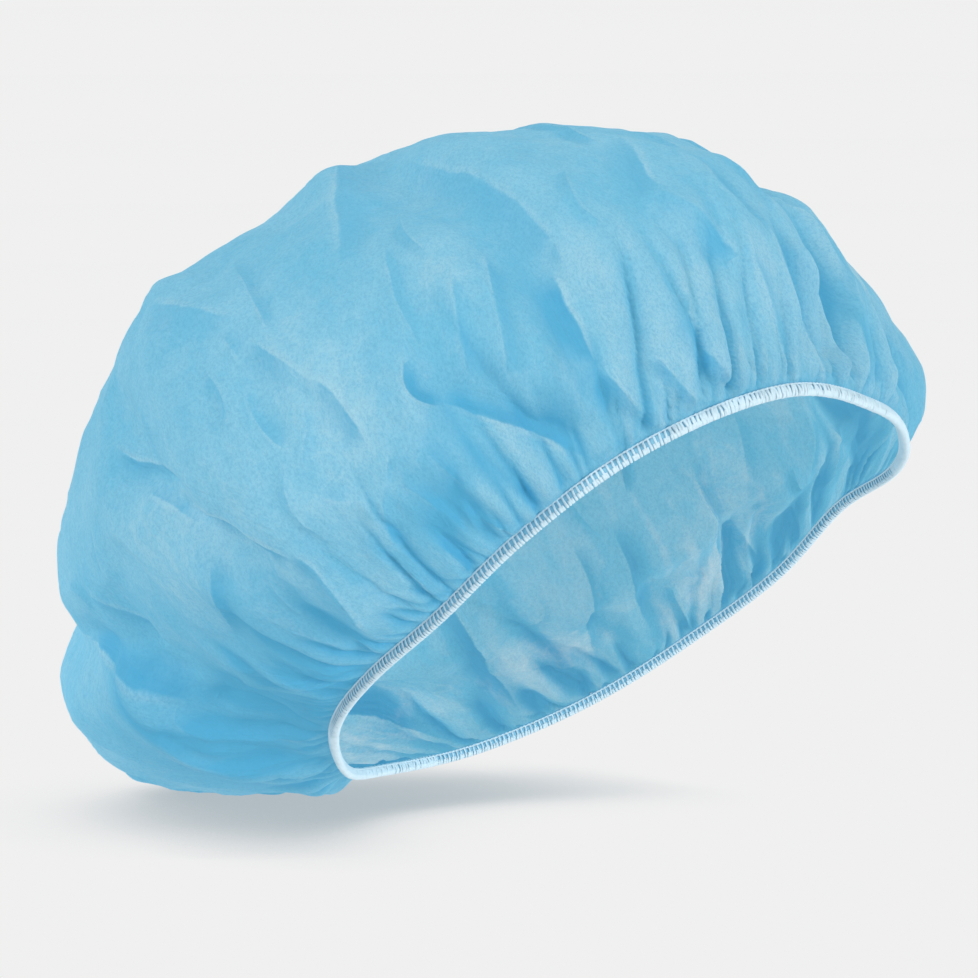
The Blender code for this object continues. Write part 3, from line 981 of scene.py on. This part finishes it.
def nonwoven():
    made = bpy.data.materials.new("blue nonwoven")
    made.use_nodes = True
    tree = made.node_tree
    shader = tree.nodes["Principled BSDF"]
    shader.inputs["Roughness"].default_value = 0.62
    shader.inputs["Specular IOR Level"].default_value = 0.35
    place = add_node(tree, "ShaderNodeUVMap", uv_map="flat").outputs["UV"]
    group = add_node(tree, "ShaderNodeGroup", {"Flat place": place}, node_tree=fibres)
    thin, strands, flecks = (group.outputs[name] for name in ("Thin", "Fibres", "Flecks"))

    # Where the cloth lies double and is coloured darker, partly as painted shade, or gets a painted
    # highlight on a crest, with an edge that wanders a little
    wander = times(tree, minus(tree, noise_value(tree, place, WANDER), 0.5), 0.9)
    lapped = add_node(tree, "ShaderNodeGroup", {
        "Side": plus(tree, named_value(tree, "crease_side"), wander),
        "Strength": named_value(tree, "crease_strength"),
        "Pleat shade": named_value(tree, "pleat_shade"),
    }, node_tree=laps)
    double_and_shade, crest_highlight = lapped.outputs["Double"], lapped.outputs["Crest"]
    worn = times(tree, named_value(tree, "thin_place"), plus(tree, times(tree, thin, 0.6), 0.35))

    # The colour that the cloth bounces: a painted highlight on crests, and a deeper blue in laps and
    # pleat valleys, partly for double cloth and partly painted shade
    pale = plus(tree, times(tree, thin, 0.50), times(tree, strands, 0.14), times(tree, worn, 0.75),
                times(tree, crest_highlight, PAINTED_CREST_HIGHLIGHT), clamp=True)
    speckled = times(tree, flecks, 0.50)
    cloth = mix_colour(tree, speckled, mix_colour(tree, pale, MIDDLE_BLUE, THIN_BLUE), FLECK_BLUE)
    coloured = mix_colour(tree, times(tree, double_and_shade, DOUBLE_AND_PAINTED_SHADE), cloth, DOUBLE_AND_SHADE_BLUE)
    tree.links.new(coloured, shader.inputs["Base Color"])

    # The colour that it lets through: its lacy thin places show most on the inside
    inner = add_node(tree, "ShaderNodeNewGeometry").outputs["Backfacing"]
    seen = times(tree, plus(tree, times(tree, inner, 0.6), 0.1),
                 plus(tree, times(tree, worn, 1.2), 0.35))
    glow = plus(tree, times(tree, group.outputs["Lace"], seen), times(tree, thin, 0.25),
                times(tree, worn, 0.48))
    # Less light passes where the cloth lies double, partly for the double cloth and partly as painted
    # shade
    glow = minus(tree, glow, times(tree, double_and_shade, 0.6), clamp=True)
    through = add_node(tree, "ShaderNodeBsdfTranslucent",
                       {"Color": mix_colour(tree, glow, GLOW_DEEP, GLOW_PALE)})

    # Fine relief, on both
    fine = times(tree, minus(tree, strands, flecks), 0.10)
    height = plus(tree, group.outputs["Crinkle"], fine, beside_creases(tree, place))
    bump = add_node(tree, "ShaderNodeBump", {"Height": height, "Strength": 0.45, "Distance": 0.0012})
    for part in (shader, through):
        tree.links.new(bump.outputs["Normal"], part.inputs["Normal"])
    share = minus(tree, 0.52, times(tree, double_and_shade, 0.20))
    detailed = mix_shaders(tree, share, shader.outputs[0], through.outputs[0])
    scattered = add_node(tree, "ShaderNodeLightPath").outputs["Is Diffuse Ray"]
    whole = mix_shaders(tree, scattered, detailed, plain_cloth(tree))
    tree.links.new(whole, tree.nodes["Material Output"].inputs["Surface"])
    return made


def plain_finish(name, colour, roughness, specular):
    made = bpy.data.materials.new(name)
    made.use_nodes = True
    shader = made.node_tree.nodes["Principled BSDF"]
    shader.inputs["Base Color"].default_value = (*colour, 1.0)
    shader.inputs["Roughness"].default_value = roughness
    shader.inputs["Specular IOR Level"].default_value = specular
    return made


blue_cloth = nonwoven()
white_thread = plain_finish("white thread", THREAD_WHITE, 0.6, 0.3)
band_blue = plain_finish("gathered edge", BAND_BLUE, 0.7, 0.5)
cap_cloth.data.materials.append(blue_cloth)

# %% [markdown]
# ## The elastic edge
#
# Inside the overlocked edge is the gathered edge of the cloth round an elastic strand. It shows
# as ribbed blue between the threads that cross it.

# %%
# The line that the edge follows, evenly spaced, with the ways out and up from it
def edge_line(count):
    wanted = edge_lengths[-1] * np.arange(count) / count
    turns = np.interp(wanted, edge_lengths, math.tau * np.arange(LOOK_TURNS + 1) / LOOK_TURNS)
    edge, height = opening_edge(turns)
    line = np.stack([edge * np.cos(turns), edge * np.sin(turns), height], -1)
    along = np.roll(line, -1, axis=0) - np.roll(line, 1, axis=0)
    along /= np.linalg.norm(along, axis=-1, keepdims=True)
    out = np.cross(along, (0.0, 0.0, 1.0))
    out /= np.linalg.norm(out, axis=-1, keepdims=True)
    return turns, line, out


CORE_STEPS = 1600
CORE_SIDES = 16
CORE_RIB = 0.0012
CORE_SWELL = 0.16
CORE_INSET = 0.00012
CORE_SEED = 11


def band_core():
    _, line, out = edge_line(CORE_STEPS)
    random = np.random.default_rng(CORE_SEED)
    count = round(edge_lengths[-1] / CORE_RIB)
    stops, phases = pleat_phase(random, count)
    rib = np.interp(np.arange(CORE_STEPS) / CORE_STEPS, stops, phases)
    swell = 1 + CORE_SWELL * np.sin(rib)
    swing = math.tau * np.arange(CORE_SIDES) / CORE_SIDES
    aside = np.cos(swing)[None] * (BAND_THICKNESS / 2 - CORE_INSET) * swell[:, None]
    rise = np.broadcast_to(np.sin(swing)[None] * (EDGE_SEEN / 2), aside.shape)
    points = line[:, None] + out[:, None] * aside[..., None]
    points = points + np.array((0.0, 0.0, 1.0)) * rise[..., None]
    index = np.arange(CORE_STEPS * CORE_SIDES).reshape(CORE_STEPS, CORE_SIDES)
    after = np.roll(index, -1, axis=0)
    faces = np.stack([index, np.roll(index, -1, axis=1), np.roll(after, -1, axis=1), after], -1)
    faces = faces.reshape(-1, 4).tolist()
    return mesh_object("band_core", tip(points.reshape(-1, 3)), faces, band_blue)


core = band_core()

# %% [markdown]
# ## Overlock stitches
#
# Each stitch of the needle thread holds looper threads that cross the edge and wrap round its
# end. Where the cloth is drawn up least, at the forehead and the nape, they cover the edge. One
# stitch of each kind is modelled once and set along the edge by a node tree.

# %%
# Guide points along the edge, for the node tree to set stitches on
def edge_guide(name, spacing, kept=None):
    turns, line, out = edge_line(round(edge_lengths[-1] / spacing))
    along = np.roll(line, 1, axis=0) - np.roll(line, -1, axis=0)
    here = np.ones(len(turns), bool) if kept is None else kept(turns)
    mesh = bpy.data.meshes.new(name)
    mesh.from_pydata(tip(line[here]), [], [])
    for word, ways in (("along_edge", along[here]), ("outward", out[here])):
        layer = mesh.attributes.new(word, "FLOAT_VECTOR", "POINT")
        layer.data.foreach_set("vector", tip(ways).astype(np.float32).ravel())
    return put_in_scene(name, mesh)


def stitch_tree():
    """Sets a copy of one stitch on each guide point, turned to the edge and a little uneven."""
    tree, given = new_group("stitches along an edge", "GeometryNodeTree", (
        ("Geometry", "Geometry"),
        ("Stitch", "Object"),
        ("Thread", "Material"),
        ("Unevenness", "Float"),
        ("Seed", "Int"),
    ), (("Geometry", "Geometry"),))

    def step(kind, wanted, inputs=None, **settings):
        return add_node(tree, kind, inputs, **settings).outputs[wanted]

    def way(name):
        return step("GeometryNodeInputNamedAttribute", "Attribute", {"Name": name},
                    data_type="FLOAT_VECTOR")

    turned = step("FunctionNodeAlignRotationToVector", "Rotation",
                  {"Vector": way("along_edge")}, axis="X")
    turned = step("FunctionNodeAlignRotationToVector", "Rotation",
                  {"Rotation": turned, "Vector": way("outward")}, axis="Y", pivot_axis="X")
    jitter = step("FunctionNodeRandomValue", "Value",
                  {"Min": (-1, -1, -1), "Max": (1, 1, 1), "Seed": given["Seed"]},
                  data_type="FLOAT_VECTOR")
    jitter = vector_node(tree, "SCALE", jitter, Scale=given["Unevenness"]).outputs["Vector"]
    wobble = step("FunctionNodeEulerToRotation", "Rotation", {"Euler": jitter})
    turned = step("FunctionNodeRotateRotation", "Rotation",
                  {"Rotation": turned, "Rotate By": wobble}, rotation_space="LOCAL")
    stitch = step("GeometryNodeObjectInfo", "Geometry", {"Object": given["Stitch"]},
                  transform_space="ORIGINAL")
    points = step("GeometryNodeMeshToPoints", "Points", {"Mesh": given["Geometry"]})
    placed = step("GeometryNodeInstanceOnPoints", "Instances",
                  {"Points": points, "Instance": stitch, "Rotation": turned})
    real = step("GeometryNodeRealizeInstances", "Geometry", {"Geometry": placed})
    painted = step("GeometryNodeSetMaterial", "Geometry",
                   {"Geometry": real, "Material": given["Thread"]})
    return hand_on(tree, Geometry=painted)


def set_along(name, spacing, stitch, unevenness, seed, kept=None):
    """Runs the node tree along the edge, keeps what it made as a plain mesh, clears the rest."""
    guide = edge_guide(name + "_guide", spacing, kept)
    modifier = guide.modifiers.new("stitches", "NODES")
    modifier.node_group = stitches
    given = {"Stitch": stitch, "Thread": white_thread, "Unevenness": unevenness, "Seed": seed}
    for item in stitches.interface.items_tree:
        if item.name in given:
            modifier[item.identifier] = given[item.name]
    bpy.context.view_layer.update()
    graph = bpy.context.evaluated_depsgraph_get()
    mesh = bpy.data.meshes.new_from_object(guide.evaluated_get(graph))
    mesh.name = name
    mesh.shade_smooth()
    bpy.data.objects.remove(guide)
    bpy.data.objects.remove(stitch)
    print(name, "faces", len(mesh.polygons))
    return put_in_scene(name, mesh)


# %%
# The crossing loop, the wrap and the cover of the looper threads, and the needle thread
STRAIGHT_UP = np.array((0.0, 0.0, 1.0))
STAND_OFF = 0.00012
LOOP_SPACING = 0.00145
LOOP_ANGLES = (72, -215)
LOOP_STEPS = 14
LOOP_SLANT = 0.5
LOOP_WIDTH, LOOP_THICKNESS = 0.00058, 0.00030
WRAP_SPACING = 0.00095
WRAP_ANGLES = (-24, -158)
WRAP_WIDTH, WRAP_THICKNESS = 0.00070, 0.00040
WRAP_TURN = 18
WRAP_SLANT = 0.00030
COVER_SPACING = 0.00100
COVER_ANGLES = (66, -240)
COVER_WIDTH = 0.00080

# Where the threads cover the edge, in degrees round the opening
FRONT_FROM, FRONT_TO = -40, 44
NAPE_RIGHT, NAPE_LEFT = -140, 168

NEEDLE_STEPS = 1500
NEEDLE_SIDES = 5
NEEDLE_TWIST = 0.0024
NEEDLE_ASIDE, NEEDLE_RISE = 0.0003, 0.0002
PLY_OFF, PLY_THICKNESS = 0.00013, 0.00032


def stitch_round_edge(name, angles, steps, slant, width, thickness):
    """A thread round the band's section, from one angle to another, 0 on the outside."""
    turned = np.radians(np.linspace(*angles, steps))
    aside = np.cos(turned) * (BAND_THICKNESS / 2 + STAND_OFF)
    rise = np.sin(turned) * (EDGE_SEEN / 2 + STAND_OFF)
    path = np.stack([np.linspace(-slant / 2, slant / 2, steps), aside, rise], -1)
    points, faces = sweep(path, (1.0, 0.0, 0.0), width, thickness)
    return mesh_object(name, points, faces, white_thread)


def wrap_stitch(name, angles, width):
    steps = round((angles[0] - angles[1]) / WRAP_TURN)
    return stitch_round_edge(name, angles, steps, WRAP_SLANT, width, WRAP_THICKNESS)


def drawn_up_least(turns):
    """The forehead and the nape, where the looper threads cover the whole face of the edge."""
    degrees = (np.degrees(turns) + 180) % 360 - 180
    front = (degrees > FRONT_FROM) & (degrees < FRONT_TO)
    return front | (degrees < NAPE_RIGHT) | (degrees > NAPE_LEFT)


def needle_line(name, angle):
    """Two plies twisted round each other along the top of the overlocked edge."""
    _, line, out = edge_line(NEEDLE_STEPS)
    aside = math.cos(math.radians(angle)) * (BAND_THICKNESS / 2 + NEEDLE_ASIDE)
    rise = math.sin(math.radians(angle)) * (EDGE_SEEN / 2 + NEEDLE_RISE)
    centre = line + out * aside + STRAIGHT_UP * rise
    twists = round(edge_lengths[-1] / NEEDLE_TWIST)
    twist = math.tau * np.arange(NEEDLE_STEPS) / NEEDLE_STEPS * twists
    points, faces = [], []
    for ply in (0, math.pi):
        off = out * np.cos(twist + ply)[:, None] + STRAIGHT_UP * np.sin(twist + ply)[:, None]
        ring, sides = sweep(centre + off * PLY_OFF, out, PLY_THICKNESS, PLY_THICKNESS,
                            closed=True, sides=NEEDLE_SIDES)
        first = len(points) * NEEDLE_STEPS * NEEDLE_SIDES
        faces += [tuple(corner + first for corner in face) for face in sides]
        points.append(ring)
    return mesh_object(name, tip(np.concatenate(points)), faces, white_thread)


stitches = stitch_tree()
loop = stitch_round_edge("loop_stitch", LOOP_ANGLES, LOOP_STEPS, LOOP_SPACING * LOOP_SLANT,
                         LOOP_WIDTH, LOOP_THICKNESS)
loops = set_along("overlock_loops", LOOP_SPACING, loop, 0.10, 3)
wrap = wrap_stitch("wrap_stitch", WRAP_ANGLES, WRAP_WIDTH)
wraps = set_along("looper_edge", WRAP_SPACING, wrap, 0.06, 5)
cover = wrap_stitch("cover_stitch", COVER_ANGLES, COVER_WIDTH)
covers = set_along("looper_cover", COVER_SPACING, cover, 0.22, 8, drawn_up_least)
needle_out = needle_line("needle_thread_outside", 44)
needle_in = needle_line("needle_thread_inside", 152)

# %% [markdown]
# ## Floor, light and view
#
# The floor is a pale paper sweep that glows evenly, so that it keeps one tone up to the picture's
# edges, and darkens only close under the cap. Three broad soft lights shine on the cap: one from
# the upper left, one from behind, so that the thin cloth glows, and one from the front right. A
# white sky fills what they leave dark.

# %%
# A floor that curves up into a backdrop
FLOOR_GAP = 0.0002
FLOOR_HEIGHT = min(vertex.co.z for vertex in cap_cloth.data.vertices) - FLOOR_GAP
FLOOR_NEAR, FLOOR_FAR, FLOOR_SIDE, FLOOR_TOP = 3.0, -1.2, 5.0, 5.0
BEND_RADIUS = 1.6
BEND_STEPS = 24
PAPER_TONE = (0.870, 0.870, 0.870)
PAPER_SHADE = (0.420, 0.490, 0.530)
SHADE_REACH = 0.050


def pale_paper(level):
    """Paper that glows evenly, with a shade where the cap is near, on its lower right side."""
    paper = bpy.data.materials.new("pale paper")
    paper.use_nodes = True
    tree = paper.node_tree
    tree.nodes.remove(tree.nodes["Principled BSDF"])
    lean = Vector((0.0, 0.0, 1.0)) - right * 0.55 - level * 0.25
    lean.normalize()
    towards = add_node(tree, "ShaderNodeCombineXYZ", dict(zip("XYZ", lean))).outputs["Vector"]
    nearness = add_node(tree, "ShaderNodeAmbientOcclusion",
                        {"Distance": SHADE_REACH, "Normal": towards}, samples=5)
    open_sky = spread_value(tree, nearness.outputs["AO"], 0.10, 0.96)
    shaded = mix_colour(tree, open_sky, PAPER_SHADE, PAPER_TONE)
    seen = add_node(tree, "ShaderNodeEmission", {"Color": shaded}).outputs[0]
    even = add_node(tree, "ShaderNodeEmission", {"Color": (*PAPER_TONE, 1.0)}).outputs[0]
    by_camera = add_node(tree, "ShaderNodeLightPath").outputs["Is Camera Ray"]
    whole = mix_shaders(tree, by_camera, even, seen)
    tree.links.new(whole, tree.nodes["Material Output"].inputs["Surface"])
    return paper


def studio_floor(back):
    level = Vector((back.x, back.y, 0.0)).normalized()
    aside = Vector((-level.y, level.x, 0.0))
    profile = [(FLOOR_NEAR, 0.0), (FLOOR_FAR, 0.0)]
    for step in range(1, BEND_STEPS + 1):
        swing = math.pi / 2 * step / BEND_STEPS
        profile.append((FLOOR_FAR - BEND_RADIUS * math.sin(swing), BEND_RADIUS * (1 - math.cos(swing))))
    profile.append((FLOOR_FAR - BEND_RADIUS, FLOOR_TOP))
    points = [level * near + aside * side + Vector((0.0, 0.0, FLOOR_HEIGHT + high))
              for near, high in profile for side in (-FLOOR_SIDE, FLOOR_SIDE)]
    faces = [(2 * row, 2 * row + 1, 2 * row + 3, 2 * row + 2) for row in range(len(profile) - 1)]
    return mesh_object("floor", points, faces, pale_paper(level))


def soft_sun(name, place, spread, strength):
    """A broad, even light from one direction, as from a large softbox far off."""
    lamp = bpy.data.lights.new(name, "SUN")
    lamp.angle = math.radians(spread)
    lamp.energy = strength
    made = put_in_scene(name, lamp)
    made.location = place
    made.rotation_mode = "QUATERNION"
    made.rotation_quaternion = (-Vector(place)).to_track_quat("-Z", "Y")
    return made


AZIMUTH = math.radians(34.72)
ELEVATION = math.radians(3.77)
CAMERA_AWAY = 0.9
AIM_LEFT = math.radians(2.19)
AIM_UP = math.radians(1.74)
SKY_STRENGTH = 0.56
back = Vector((
    math.sin(AZIMUTH) * math.cos(ELEVATION),
    -math.cos(AZIMUTH) * math.cos(ELEVATION),
    math.sin(ELEVATION),
))
right = Vector((math.cos(AZIMUTH), math.sin(AZIMUTH), 0.0))
up = back.cross(right)

floor = studio_floor(back)
soft_sun("key", back * 0.8 - right * 1.3 + Vector((0, 0, 0.9)), 30, 1.40)
soft_sun("rear", -back * 1.2 + right * 0.2 + Vector((0, 0, 0.9)), 60, 2.80)
soft_sun("front", back * 1.5 + right * 1.9 + Vector((0, 0, -0.1)), 35, 2.70)
world = bpy.data.worlds.new("studio")
bpy.context.scene.world = world
world.use_nodes = True
sky = world.node_tree.nodes["Background"].inputs
sky["Color"].default_value = (1.0, 1.0, 1.0, 1.0)
sky["Strength"].default_value = SKY_STRENGTH

lens = bpy.data.cameras.new("camera")
lens.lens = 125
lens.sensor_width = 36
camera = put_in_scene("camera", lens)
camera.location = back * CAMERA_AWAY
camera.rotation_mode = "QUATERNION"
aim = -back - right * math.tan(AIM_LEFT) + up * math.tan(AIM_UP)
camera.rotation_quaternion = aim.to_track_quat("-Z", "Y")
bpy.context.scene.camera = camera
bpy.context.scene.view_settings.view_transform = "Standard"

# %%
# Handing the pieces over
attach(cap_cloth, "root")
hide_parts("crown")
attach(core, "root")
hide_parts("elastic_band")
for piece in (loops, wraps, covers, needle_out, needle_in):
    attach(piece, "root")
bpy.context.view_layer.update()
print("ready after", round(time.time() - started, 1), "s")
